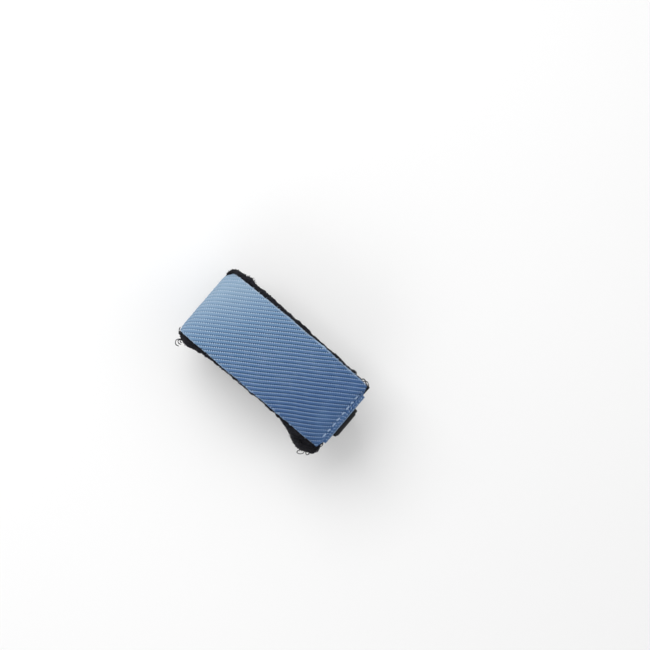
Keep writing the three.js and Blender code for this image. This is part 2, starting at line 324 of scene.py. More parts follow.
class Value:
    """A number or colour in a shader. Plain arithmetic on it adds maths nodes."""

    def __init__(self, nodes, socket):
        self.nodes, self.socket = nodes, socket

    __add__ = __radd__ = maths("ADD")
    __mul__ = __rmul__ = maths("MULTIPLY")
    __sub__, __rsub__ = maths("SUBTRACT"), maths("SUBTRACT", back=True)
    __truediv__, __abs__ = maths("DIVIDE"), maths("ABSOLUTE")


class Nodes:
    """A material being made, with short calls for the nodes that it uses."""

    def __init__(self, name):
        self.material = bpy.data.materials.new(name)
        self.material.use_nodes = True
        self.tree = self.material.node_tree
        self.shader = self.tree.nodes["Principled BSDF"]

    def set(self, node, key, value):
        """Gives a node's input a value, a number or an opaque colour."""
        if isinstance(value, Value):
            self.tree.links.new(value.socket, node.inputs[key])
        else:
            node.inputs[key].default_value = (*value, 1) if isinstance(value, tuple) else value

    def add(self, kind, inputs, output=0, **settings):
        """The output of a new node with these inputs, by key, and settings of its own."""
        node = self.tree.nodes.new("ShaderNode" + kind)
        for key, value in settings.items():
            setattr(node, key, value)
        for key, value in inputs.items():
            self.set(node, key, value)
        return Value(self, node.outputs[output])

    def math(self, operation, *values):
        return self.add("Math", dict(enumerate(values)), operation=operation)

    def step(self, low, high, value):
        """Eases from 0 at low to 1 at high, whichever of them is the larger."""
        return self.add("MapRange", {0: value, 1: low, 2: high}, interpolation_type="SMOOTHSTEP")

    def away(self, phase, centre):
        """How far a place in the twill's repeat is from a centre, in picks."""
        far = abs(phase - centre)
        return self.math("MINIMUM", far, TWILL - far)

    def oval(self, phase, centre, reach, side, half):
        """1 in a soft-rimmed oval on each yarn, with its reach along the yarn and half across."""
        far = self.away(phase, centre) / reach
        off = side / half
        return self.step(1.25, 0.55, far * far + off * off)

    def ramp(self, value, stops):
        """A colour for each value, running straight between stops of (value, colour)."""
        low, high = stops[0][0], stops[-1][0]
        colour = self.add("ValToRGB", {0: (value - low) / (high - low)})
        ends = colour.socket.node.color_ramp.elements
        while len(ends) < len(stops):
            ends.new(0.5)
        for end, (at, shade) in zip(ends, stops):
            end.position = (at - low) / (high - low)
            end.color = (*shade, 1)
        return colour

    def mix(self, share, a, b):
        return self.add("Mix", {"Factor": share, 6: a, 7: b}, 2, data_type="RGBA")

    def place(self):
        return self.add("TexCoord", {}, "Object")

    def noise(self, scale, detail=2.0, rough=0.5, vector=None):
        inputs = {"Scale": scale, "Detail": detail, "Roughness": rough, "Vector": vector or self.place()}
        return self.add("TexNoise", inputs, "Fac")

    def random(self, a, b):
        """A number from 0 to 1 that is the same wherever a and b are."""
        return self.add("TexWhiteNoise", {"Vector": self.joined(a, b)}, "Value")

    def joined(self, x, y):
        return self.add("CombineXYZ", {0: x, 1: y})

    def split(self, vector, unit):
        """A vector's first two numbers, in a unit."""
        parts = self.add("SeparateXYZ", {0: vector}).socket.node.outputs
        return [Value(self, parts[i]) / unit for i in (0, 1)]

    def cloth(self):
        """Distances along and across the cloth, in millimetres."""
        return self.split(self.add("UVMap", {}, uv_map="cloth"), UV_SCALE)

    def bump(self, height, distance, strength):
        lit = self.add("Bump", {"Height": height, "Distance": distance, "Strength": strength})
        self.set(self.shader, "Normal", lit)

    def finish(self, colour, rough, specular=0.5, sheen=0.0, sheen_rough=0.5):
        keys = ("Base Color", "Roughness", "Specular IOR Level", "Sheen Weight", "Sheen Roughness")
        for key, value in zip(keys, (colour, rough, specular, sheen, sheen_rough)):
            self.set(self.shader, key, value)
        return self.material


# ---- materials
# Colours of the washed denim from its wall side to its hem: the dark one (used for the dips' painted
# shadow), the warp and the weft
# All three pale towards the wall side and the head edge: partly the wash's fade, partly painted light
# from the key lamp's side
DENIM_DARK = (
    (-30, (0.18, 0.28, 0.39)), (-22, (0.08, 0.15, 0.26)), (-12, (0.014, 0.04, 0.1)),
    (0, (0.003, 0.012, 0.045)), (28, (0.002, 0.008, 0.036)),
)
DENIM_MID = (
    (-30, (0.255, 0.368, 0.5)), (-16, (0.13, 0.242, 0.402)), (0, (0.068, 0.147, 0.302)),
    (16, (0.042, 0.099, 0.238)), (28, (0.04, 0.093, 0.218)),
)
DENIM_PALE = (
    (-30, (0.4, 0.5, 0.6)), (-16, (0.4, 0.51, 0.635)), (0, (0.37, 0.5, 0.66)),
    (16, (0.275, 0.395, 0.565)), (28, (0.235, 0.345, 0.51)),
)

# Places in the twill's repeat, in picks: the middles of a weft float, of the dip where shadow is painted
# and of the warp
WEFT_TOP, DIP_TOP, WARP_TOP = 0.33, 3.64, 2.1


def weave_values(n):
    """Where a point lies in the twill: yarn, weft on top, the dip with its painted shadow, warp lift,
    crown and chance.
    """
    along, across = n.cloth()
    sway = n.noise(900, 1) - 0.5
    along = along + sway * 0.16
    lane = (across + sway * 0.08) / WARP_PITCH
    end = n.math("FLOOR", lane)
    beside = lane - end - 0.5
    crown = 1 - beside * beside * 4
    pick = along / WEFT_PITCH - end
    phase = n.math("FLOORED_MODULO", pick, TWILL)
    repeat = n.math("FLOOR", (pick + 1.2) / TWILL)
    chance = n.random(repeat, end)
    reach = chance * 0.1 + 0.33
    weft = n.oval(phase, WEFT_TOP, reach, beside, 0.6)
    dip_shadow = n.oval(phase, DIP_TOP, 0.85 - reach, beside, 0.76)
    lift = 1 - n.step(0, 1.5, n.away(phase, WARP_TOP))
    yarn = n.noise(1, 2, 0.6, n.joined(along * 0.16, end * 7.3))
    return yarn, weft, dip_shadow, lift, crown, chance


def denim_material():
    """Washed denim: worn pale crests, dips darkened by painted shadow, paler towards the lamp's side
    partly by painted light, rubbed at the hem, frayed at both cut edges.
    """
    n = Nodes("washed_denim")
    yarn, weft, dip_shadow, lift, crown, chance = weave_values(n)
    x, y = n.split(n.place(), MM)
    # paler towards the wall side and the head edge: partly the wash's fade, partly painted light from the
    # key lamp's side
    dark, mid, pale = (n.ramp(x - y * 0.6, stops) for stops in (DENIM_DARK, DENIM_MID, DENIM_PALE))

    patch = n.noise(210, 3, 0.6)
    worn = yarn * 0.9 + patch * 0.8 - 0.85
    crest = crown * lift
    warp = n.mix(n.step(0.15, 1.5, crest * 0.55 + worn) * 0.8, mid, pale)
    warp = n.mix(n.step(0.15, 0.75, worn * -1) * 0.6, warp, dark)
    # painted shade: the warp darkens at the borders between neighbouring yarns
    warp = n.mix(n.step(0.4, 0.0, crown) * 0.4, warp, dark)
    rubbed = 1 - n.step(17, 25, x) * n.step(0.35, 0.65, patch)
    # painted shadow in the dip just before each weft float, weaker in patches where the hem is rubbed
    # flat
    colour = n.mix(dip_shadow * rubbed * n.step(-1.4, 0.6, chance), warp, dark)
    colour = n.mix(weft * n.step(2.2, 0.4, chance), colour, pale)

    off = (x - (BOW_CENTRE + SHIFT_X)) / BOW_REACH
    bowed = y - n.math("MAXIMUM", BOW_MIDDLE - off * off * BOW_FALL, 0)
    edge = n.step(11.55, 11.8, bowed) * n.step(0.2, 0.6, yarn)
    fold = n.step(27.15, 27.75, x) * 0.55
    colour = n.mix(n.math("MAXIMUM", edge, fold), colour, pale)

    cut = n.step(11.68, 11.8, n.math("MAXIMUM", bowed, y * -1)) * 0.75
    tufts = n.noise(2600, 3, 0.7)
    raw = n.mix(n.step(0.42, 0.62, tufts), mid, pale)
    colour = n.mix(cut, colour, n.mix(n.step(0.5, 0.34, tufts), raw, dark))

    n.bump(n.noise(9000, 2, 0.6) * 0.5 + crest, 0.00007, 0.8)
    return n.finish(colour, 0.95, specular=0.2, sheen=0.04, sheen_rough=0.6)


def pile_material(name, dark, light):
    n = Nodes(name)
    shade = n.mix(n.step(0.35, 0.75, n.noise(1500, 3, 0.65)), dark, light)
    n.bump(n.noise(4200, 3, 0.7), 0.00018, 0.9)
    return n.finish(shade, 0.9, specular=0.3, sheen=0.06, sheen_rough=0.45)


def felt_material():
    n = Nodes("grey_felt")
    tufts = n.noise(2400, 4, 0.7)
    shade = n.mix(n.step(0.3, 0.7, tufts), (0.02, 0.02, 0.022), (0.06, 0.06, 0.065))
    n.bump(tufts, 0.0002, 0.8)
    return n.finish(shade, 1.0)


def webbing_material():
    """Narrow elastic: lengthwise ribs crossed by fine picks, with a dull satin face; painted shade
    darkens the grooves and lightens the rib tops.
    """
    n = Nodes("elastic_webbing")
    along, across = n.cloth()
    rib = n.math("SINE", across * (2 * math.pi / RIB_PITCH))
    turned = n.math("SIGN", rib) * 1.57
    pick = n.math("SINE", along * (2 * math.pi / 0.36) + turned)
    height = abs(rib) * 0.7 + pick * 0.35
    lint = n.noise(900, 4, 0.7)
    # painted shade: the lower parts of the ribs and picks are darker, their tops lighter
    shade = n.mix(n.step(-0.4, 1.0, height), (0.006, 0.006, 0.007), (0.019, 0.019, 0.021))
    shade = n.mix(n.step(0.62, 0.8, lint) * 0.3, shade, (0.05, 0.05, 0.055))
    n.bump(height, 0.00007, 0.9)
    return n.finish(shade, 0.8, specular=0.25, sheen=0.05, sheen_rough=0.4)


def thread_material(name, dark, light):
    n = Nodes(name)
    fuzz = n.noise(5200, 3, 0.6)
    n.bump(fuzz, 0.00005, 0.7)
    return n.finish(n.mix(n.step(0.3, 0.7, fuzz), dark, light), 0.7, sheen=0.2)


def plastic_material(name, rough):
    """Black moulded plastic with a faint grain and rubbed, duller patches."""
    n = Nodes(name)
    rub = n.noise(260, 4, 0.7)
    shade = n.mix(n.step(0.4, 0.8, rub), (0.012, 0.012, 0.013), (0.03, 0.03, 0.032))
    n.bump(n.noise(3800, 2, 0.6), 0.00002, 0.5)
    return n.finish(shade, n.step(0.35, 0.75, rub) * 0.22 + rough)


# ---- sections across a band
def flat_section(half, thick, top_places, edge_places=3, under_places=5, bulge=0.32):
    """A flat band's outline: (across, out of its face) places, up one face and down the other."""
    top, under = (
        np.stack([np.linspace(-side * half, side * half, places), np.full(places, side * thick / 2)], 1)
        for side, places in ((1, top_places), (-1, under_places))
    )
    turn = np.linspace(0, math.pi, edge_places + 2)[1:-1]
    edge = np.stack([half + thick * bulge * np.sin(turn), thick / 2 * np.cos(turn)], 1)
    return np.concatenate([top, edge, under, edge[::-1] * [-1, 1]])


def band_grid(line, step, section, side=1):
    """A rail along a line, and a section's places across and out, by (stations, places).

    side is -1 where the band's face is to the right of the line."""
    points, s, left = spaced(line, step)
    across, out = (np.repeat(section[None, :, i], len(s), 0) for i in (0, 1))
    return (points, s, left * side), across, out


def band_object(name, rail, across, out, material, aside=0.0, uv=None):
    """A band's mesh. Its UVs are distances along and across the cloth, unless others are given."""
    points, s, sides = rail
    sections = place(points[:, None] + sides[:, None] * out[..., None], across + aside)
    uv = (s[:, None], across) if uv is None else uv
    uv = np.stack(np.broadcast_arrays(*uv), -1).reshape(-1, 2)
    return mesh_object(name, sections, skin(sections), material, uv)


# ---- the denim
def denim_line():
    slope_top = on_hem(0, 0)[0] - HEM_RISE / math.tan(HEM_DROOP)
    return course(
        (on_hem(FOLD_LENGTH, FOLD_DEPTH),),
        (on_hem(0, FOLD_DEPTH), FOLD_DEPTH / 2),
        (on_hem(0, 0), FOLD_DEPTH / 2),
        ((slope_top, DENIM_LEVEL), 12),
        bend_corner(0),
        (on_wall(WALL_LENGTH, 0), FOLD_DEPTH / 2),
        (on_wall(WALL_LENGTH, FOLD_DEPTH), FOLD_DEPTH / 2),
        (on_wall(WALL_FOLD, FOLD_DEPTH),),
    )


def weave_place(along, across):
    """Distances along and across the warp: the cloth is cut off its grain and lies unevenly."""
    c, s = math.cos(GRAIN), math.sin(GRAIN)
    return along * c + across * s, across * c - along * s + 0.12 * ripple(along, across, 15.0, 3)


def twill_relief(u, v):
    """Height of the 3 and 1 twill's yarns, in millimetres, round their middle plane."""
    lane = v / WARP_PITCH
    end = np.floor(lane)
    crown = 1 - 4 * (lane - end - 0.5) ** 2
    phase = np.mod(u / WEFT_PITCH - end, TWILL)
    away = np.minimum(np.abs(phase - 0.5), np.abs(phase - 0.5 - TWILL))
    warp = 0.05 * crown + 0.08 * smooth(0.3, 1.7, away)
    weft = 0.06 * (1 - smooth(0.1, 0.7, away))
    return np.maximum(warp, weft) - 0.08


HEM_STITCHES, HEM_SEAM = 8, HEM_WIDE - 1.2
WALL_STITCHES, WALL_SEAM = 10, DENIM_WIDE - 2.4


def stitch_pull(across, length, stitches):
    """How hard the row of stitches pulls the cloth down: most at the needle holes."""
    pitch = length / stitches
    hole = 0.5 + 0.5 * np.cos(2 * math.pi * (across + length / 2) / pitch)
    return (0.55 + 0.45 * hole**3) * (1 - smooth(length / 2 + 0.4, length / 2 + 2.2, np.abs(across)))


def head_bow(x):
    """How far the denim's edge by the headstock bows out, at each place across the neck."""
    bow = BOW_MIDDLE - BOW_FALL * ((x - BOW_CENTRE) / BOW_REACH) ** 2
    return np.maximum(bow, 0) * (1 - smooth(25.4, 26.6, x))


def corner_tuck(points, across):
    """How far the corner by the bend is turned in, under the roll of lining that wraps it."""
    x, z = points.T[..., None]
    return 1.1 * smooth(9.2, 11.8, across) * smooth(23.5, 28.2, -x) * smooth(15.8, 20.5, z)


def denim_shape(points, s, across, out):
    """Bends the flat band's places into worn cloth: seams, drawn-in hem corners and slow waves."""
    x, z = points.T[..., None]
    from_hem = HALF_SPAN - x
    on_top = smooth(DENIM_LEVEL - 1.9, DENIM_LEVEL - 1.1, z + 0.12 * np.maximum(0, x - 21))
    width = 1 - (1 - HEM_WIDE / DENIM_WIDE) * (1 - smooth(0.9, 1.75, from_hem))
    under = (s < FOLD_LENGTH + 1)[:, None]
    width = np.where(under, (HEM_WIDE + 1.5 * smooth(1.0, 5.0, from_hem)) / DENIM_WIDE, width)
    across = across * width

    row = bell(STITCH_INSET, 0.55, from_hem) * on_top
    pull = -0.4 * row * stitch_pull(across, HEM_SEAM, HEM_STITCHES)
    crease = 0.12 + 0.45 * smooth(5.5, 9.3, across)
    pull = pull - crease * bell(1.5, 0.22, from_hem) * on_top
    roll = 0.16 * bell(0.75, 0.5, from_hem) * on_top
    swell = 0.14 * bell(4.4, 1.5, from_hem) * on_top
    wall_end = on_wall(WALL_LENGTH, 0)[1]
    wall_row = bell(wall_end + STITCH_INSET - 0.45, 0.6, z) * (x < -20)
    outer_wall = (s < s[-1] - FOLD_LENGTH - 1)[:, None]
    pull = pull - 0.34 * wall_row * outer_wall * stitch_pull(across, WALL_SEAM, WALL_STITCHES)

    tuck = corner_tuck(points, across)
    waves = 0.13 * ripple(s[:, None], across, 17.0, 4) + 0.05 * ripple(s[:, None], across, 6.0, 9)
    edge_drop = -0.22 * smooth(DENIM_EDGE - 2.6, DENIM_EDGE + 0.3, np.abs(across))
    calm = smooth(0.6, 3.0, from_hem)
    worn = (pull + roll + swell + (waves + edge_drop) * calm) * np.where(under, 0, 1)
    return across, out + worn - tuck


def make_denim():
    top_count = 237
    section = flat_section(DENIM_EDGE, DENIM_THICK, top_count, 3, 9, 0.1)
    rail, flat_across, out = band_grid(denim_line(), 0.15, section, -1)
    points, s, _ = rail
    along = s[-1] - s
    bow = head_bow(points[:, 0])[:, None] * np.clip(flat_across / DENIM_EDGE, 0, 1.1) ** 2
    u, v = weave_place(along[:, None], flat_across + bow)
    across, out = denim_shape(points, s, flat_across, out)
    near_edge = smooth(DENIM_EDGE - 0.6, DENIM_EDGE, np.abs(flat_across))
    relief = twill_relief(u, v) * (1 - 0.5 * near_edge)
    out[:, :top_count] += relief[:, :top_count]
    # the cut edges run a little ragged, pick by pick
    rng = np.random.default_rng(11)
    picks = np.floor(along / WEFT_PITCH).astype(int)
    for sign in (-1, 1):
        ragged = rng.normal(0, 0.07, picks.max() + 2)[picks] + 0.1 * ripple(s, 0, 9.0, 20 + sign)
        across += sign * ragged[:, None] * smooth(DENIM_EDGE - 0.5, DENIM_EDGE, sign * flat_across)
    obj = band_object("denim_band", rail, across + bow, out, denim, uv=(u, v))
    return settle(obj, "denim", "band", "denim_face"), rail


# ---- felt pad and pile lining
def make_felt():
    inward = DENIM_LEVEL - FELT_LEVEL
    line = course(
        ((on_hem(FOLD_LENGTH, 0)[0] - 1.2, FELT_LEVEL),),
        bend_corner(inward),
        (on_wall(WALL_FOLD - 1, inward),),
    )
    section = flat_section(FELT_WIDE / 2, FELT_THICK, 60, 3, 40)
    rail, across, out = band_grid(line, 0.45, section, -1)
    out = out - corner_tuck(rail[0], across)
    across = across + 0.12 * ripple(rail[1][:, None], across, 2.5, 31) * np.sign(across)
    obj = band_object("felt_filling", rail, across, out, felt)
    return settle(obj, "felt", "band", "felt_pad")


def lining_line():
    thin_stack = DENIM_LEVEL - LINING_LEVEL
    clear = SEAM_ROOM + (STRAP_THICK + LINING_THICK) / 2
    hem_stack, wall_stack = SECOND_WEB_DEPTH + clear, WEB_DEPTH + clear
    return course(
        (on_hem(-0.2, hem_stack),),
        (on_hem(TAB_END + 1.3, hem_stack), 1.6),
        ((on_hem(TAB_END + 4.8, 0)[0], LINING_LEVEL), 2.4),
        bend_corner(thin_stack),
        (on_wall(WALL_FOLD - 4, thin_stack), 2.5),
        (on_wall(WALL_FOLD - 1, wall_stack), 2.5),
        (on_wall(WALL_LENGTH - 0.4, wall_stack),),
    )


# How far the lining stands out past the denim's two edges, at places across the neck
RIM_X = (-28, -26.8, -24.5, -22, -20, -16, -10, -3, 4, 12, 15, 17, 19, 21.5, 23, 24.7, 26.7)
RIM_HEAD = (0.3, 0.9, 1.4, 1.8, 1.6, 1.8, 1.6, 1.4, 1.15, 1.0, 0.9, 0.8, 0.6, 0.4, 0.3, 0.2, 0.1)
RIM_BODY = (0.2, 0.7, 1.7, 1.4, 0.8, 0.4, 0.2, 0.1, 0.1, 0.3, 0.9, 1.6, 2.7, 3.4, 3.6, 3.0, 2.0)


def rim_half(x, sign):
    return DENIM_EDGE + np.interp(x, RIM_X, RIM_HEAD if sign > 0 else RIM_BODY)


def make_lining():
    section = flat_section(LINING_WIDE / 2, LINING_THICK, 66, 7, 66)
    rail, across, out = band_grid(lining_line(), 0.4, section, -1)
    points, s, _ = rail
    half = np.where(across > 0, rim_half(points[:, :1], 1), rim_half(points[:, :1], -1))
    across = across * half / (LINING_WIDE / 2)
    lumps = 0.16 * ripple(s[:, None], across, 2.2, 40, 8) + 0.11 * ripple(s[:, None], across, 1.1, 41, 8)
    rim = smooth(DENIM_EDGE - 1.5, DENIM_EDGE + 0.6, np.abs(across))
    face = np.where(out > 0.2, 1.0, -1.0)
    flat_inside = np.where(out < 0, 0.25, 1.0)
    tuck = corner_tuck(points, across) * (1 - smooth(11.6, 12.6, across))
    out = out + lumps * face * (0.35 + 0.65 * rim) * flat_inside + 0.35 * rim * (out > 0.2) - tuck
    across = across + np.sign(across) * rim * (lumps * 1.2)
    obj = band_object("lining_cloth", rail, across, out, pile)
    notch_for_tab(obj)
    return settle(obj, "pile", "band", "pile_lining"), rail


# The room cut out of the lining for the tab and the ring: its inner side and half its width
NOTCH_SIDE = INNER_X - STRAP_THICK / 2 - PART_ROOM
NOTCH_HALF = STRAP_WIDE / 2 + 0.6 + BAR_THICK + PART_ROOM


def notch_for_tab(obj):
    cutter = bpy.data.meshes.new("notch")
    corners = [(x, y, z) for x in (0, 6) for y in (-NOTCH_HALF, NOTCH_HALF) for z in (16, 25.4)]
    corners = (np.array(corners) + [NOTCH_SIDE + SHIFT_X, STRAP_ASIDE, 0]) * MM
    sides = [(0, 1, 3, 2), (4, 6, 7, 5), (0, 4, 5, 1), (2, 3, 7, 6), (0, 2, 6, 4), (1, 5, 7, 3)]
    cutter.from_pydata(corners.tolist(), [], sides)
    tool = add_object("notch", cutter)
    cut = obj.modifiers.new("notch", "BOOLEAN")
    cut.object, cut.operation, cut.solver = tool, "DIFFERENCE", "EXACT"
    bpy.context.view_layer.objects.active = obj
    bpy.ops.object.modifier_apply(modifier=cut.name)
    bpy.data.objects.remove(tool)


def loops_at(roots, outs, rng, reach=(0.18, 0.62), width=(0.08, 0.24), thickness=0.06, places=6):
    """Little loops of pile: each rises from its root along its out direction and comes back."""
    count = len(roots)
    outs = unit(outs + rng.normal(0, 0.45, outs.shape))
    side = unit(np.cross(outs, rng.normal(0, 1, outs.shape)))
    t = np.linspace(0, math.pi, places)
    height, wide = (rng.uniform(*limits, count)[:, None] for limits in (reach, width))
    skew = rng.normal(0, 0.35, count)[:, None]
    ways = (
        (outs, np.sin(t) * height),
        (side, np.cos(t) * wide),
        (np.cross(outs, side), np.sin(t) ** 2 * skew * height),
    )
    path = roots[:, None] + sum(way[:, None] * share[..., None] for way, share in ways)
    return tubes(path, thickness * rng.uniform(0.75, 1.2, count), 3, 0.8)


def fibre_object(name, parts, material, slot, follow="band", *nodes):
    """A piece made of many fine parts, each with its vertices and faces."""
    settle(mesh_object(name, *merged(parts), material), slot, follow, *nodes)


def spot(rail, at, across, out):
    """Places on a band at distances along it, and the way out of its face at each."""
    points, s, sides = rail
    normal = unit(at_distances(at, s, sides))
    flat = at_distances(at, s, points) + normal * np.reshape(out, (-1, 1))
    return place(flat, across), upright(normal)


RIM_LOOPS, FACE_LOOPS, END_LOOPS = 4200, 4600, 700  # of each rim, the face and each end


def onward(normal):
    """The way along a band, from the way out of its face."""
    return np.cross([0, 1, 0], normal)


def make_pile(rail):
    """The lining's loops: thick along its rims, thin over the face that lies on the strings."""
    points, s, _ = rail
    rng = np.random.default_rng(5)
    parts = []
    for sign in (1, -1):
        at = rng.uniform(0.2, s[-1] - 0.2, RIM_LOOPS)
        out = rng.uniform(-0.9, 1.25, RIM_LOOPS)
        back = rng.uniform(-0.1, 0.9, RIM_LOOPS)
        half = rim_half(np.interp(at, s, points[:, 0]), sign)
        roots, normal = spot(rail, at, sign * (half - back), out)
        outs = normal * out[:, None] * 0.8 + [0, sign * 0.9, 0]
        parts.append(loops_at(roots, outs, rng))

    def clear_loops(roots, outs, *sizes):
        """Loops that keep out of the notch."""
        aside = np.abs(roots[:, 1] - STRAP_ASIDE)
        keep = (roots[:, 0] - SHIFT_X <= NOTCH_SIDE - 0.2) | (aside >= STRAP_WIDE / 2 + 3.2)
        parts.append(loops_at(roots[keep], outs[keep], rng, *sizes))

    at = rng.uniform(0.3, s[-1] - 0.3, FACE_LOOPS)
    across = rng.uniform(-DENIM_EDGE, DENIM_EDGE, FACE_LOOPS)
    roots, normal = spot(rail, at, across, -LINING_THICK / 2 + 0.1)
    clear_loops(roots, -normal, (0.12, 0.32), (0.1, 0.26), 0.07, 5)
    for end, direction in ((0.0, -1), (s[-1], 1)):
        across = rng.uniform(-DENIM_EDGE, DENIM_EDGE, END_LOOPS)
        out = rng.uniform(-0.8, 0.8, END_LOOPS)
        roots, normal = spot(rail, np.full(END_LOOPS, end), across, out)
        clear_loops(roots, onward(normal) * direction, (0.15, 0.5))
    fibre_object("lining_pile", parts, pile_loops, "pile")


# Thick rolls of the lining's edge: places (x, y, z) with the roll's radius there
ROLLS = (
    ((-27, 12.7, 14.5, 0.3), (-27.9, 12.5, 17.8, 0.5), (-28.6, 11.7, 20.4, 0.55),
     (-28.6, 10.4, 21.4, 0.5), (-28.5, 11.4, 22.7, 0.55), (-28, 12.5, 24, 0.6), (-27, 13, 25.2, 0.65),
     (-25.6, 13.2, 25.9, 0.75), (-23.8, 13.4, 26.1, 0.8), (-22.1, 13.8, 26.2, 0.9),
     (-20.2, 13.2, 26.1, 0.7), (-18, 13, 26, 0.75), (-14.3, 13.1, 25.9, 0.8), (-10.9, 12.9, 25.8, 0.75),
     (-7.2, 12.5, 25.7, 0.55)),
    ((-28.6, -12.5, 20.6, 0.2), (-27.6, -12.7, 22.4, 0.45), (-26, -13.1, 24, 0.8),
     (-24.2, -13.2, 25, 0.85), (-22.2, -12.9, 25.4, 0.6), (-19.5, -12.5, 25.6, 0.45)),
    ((12.5, -12.3, 25.5, 0.4), (15.5, -12.9, 25.4, 0.6), (18.2, -13.9, 25, 0.85), (20.6, -14.9, 24.4, 1),
     (22.6, -15.2, 23.8, 0.95), (24.4, -14.5, 23.4, 0.9), (26, -13.8, 23.2, 0.8),
     (26.7, -12.6, 23.2, 0.6), (26.5, -11.4, 23.4, 0.4)),
)

# Loose ends of pile yarn at the corners
LOOSE_ENDS = (
    ((24.2, -15.2, 23.4), (24.5, -16, 23.6), (23.8, -17, 23.8), (22.9, -17.2, 23.8), (22.8, -16.4, 23.6),
     (23.4, -15.6, 23.4)),
    ((25, -14.6, 23.2), (25, -15.4, 23.4), (25.6, -15.9, 23.5), (26.1, -15.3, 23.5), (25.9, -14.6, 23.3)),
    ((26.3, -9.6, 24.6), (27.2, -10.1, 24.9), (27.3, -11, 24.9), (26.7, -11.6, 24.7), (26.2, -11, 24.4)),
    ((26.6, -12, 23.8), (27.4, -12.3, 24), (27.5, -13.1, 24), (26.8, -13.3, 23.8)),
    ((-26.4, -13.4, 24), (-27.4, -14.2, 24.4), (-27.8, -15.1, 24.5), (-27.1, -16, 24.5),
     (-26, -15.9, 24.4)),
    ((-26.2, -13.6, 24), (-27, -14.2, 24.3), (-27.2, -14.9, 24.4), (-26.5, -15.3, 24.4),
     (-25.8, -15.1, 24.3)),
    ((-26, -13.5, 24), (-26.6, -14, 24.3), (-26.5, -14.5, 24.3), (-25.9, -14.5, 24.3)),
    ((-27.2, -12.6, 23.6), (-28.2, -12.6, 23.6), (-28.9, -12.4, 23.3), (-29.4, -11.9, 23),
     (-29.5, -11.3, 22.8)),
    ((22.9, 11.4, 26.8), (23.6, 13.1, 26.3), (24.4, 13.2, 26.2), (25.4, 12.6, 26.2), (26.5, 12.3, 26),
     (26.9, 11.6, 25.6)),
    ((23.6, 11.4, 26.8), (24.3, 12.7, 26.3), (25.1, 13.3, 26.2), (26, 13, 26), (26.7, 12.3, 25.8)),
)


def through(places, count):
    """A smooth open curve through places, as that many points."""
    p = np.array(places, float)
    p = np.concatenate([[2 * p[0] - p[1]], p, [2 * p[-1] - p[-2]]])
    t = np.linspace(0, len(p) - 3 - 1e-9, count)
    a, b, c, d = (p[t.astype(int) + k] for k in range(4))
    f = (t % 1)[:, None]
    return b + ((c - a) * f + (2 * a - 5 * b + 4 * c - d) * f**2 + (3 * b - a - 3 * c + d) * f**3) / 2


def make_rolls():
    """Fat fuzzy rolls that thicken the lining's rim at three of its corners."""
    rng = np.random.default_rng(29)
    places, around, loops = 60, 14, 1320
    parts = []
    for roll in ROLLS:
        path, radius = np.split(through(roll, places), [3], 1)
        path = path + [SHIFT_X, 0, 0]
        along = unit(np.gradient(path, axis=0))
        side = unit(np.cross(along, [0.3, 0.2, 1.0]))
        up = np.cross(side, along)
        angle = np.arange(around) * 2 * math.pi / around
        lumpy = radius * (0.86 + 0.1 * rng.normal(0, 1, (places, around)))
        verts = path[:, None] + spokes(angle, side[:, None], up[:, None]) * lumpy[..., None]
        parts.append((verts.reshape(-1, 3), skin(verts)))
        k = rng.integers(0, places, loops)
        out = spokes(rng.uniform(0, 2 * math.pi, loops), side[k], up[k])
        roots = path[k] + out * radius[k] * 0.8 + rng.normal(0, 0.15, (loops, 3))
        parts.append(loops_at(roots, out, rng, (0.08, 0.32)))
    fibre_object("lining_rolls", parts, pile_loops, "pile")


def make_loose_ends():
    """Curled yarns of two strands each."""
    rng = np.random.default_rng(17)
    paths = []
    for places in LOOSE_ENDS:
        path = through(places, 26) + [SHIFT_X, 0, 0]
        for _ in range(2):
            strand = path + rng.normal(0, 0.06, 3)
            paths.append(strand + 0.03 * np.cumsum(rng.normal(0, 0.5, path.shape), 0))
    fibre_object("loose_pile_yarns", [tubes(paths, 0.095, 6)], pile_loops, "pile")


def fibres(roots, way, drift, radius):
    """Thin fibres: each sets out on its way and drifts off it ever faster."""
    t = np.linspace(0, 1, 6)[:, None]
    return tubes(roots[:, None] + way[:, None] * t + drift[:, None] * t**2, radius, 5)


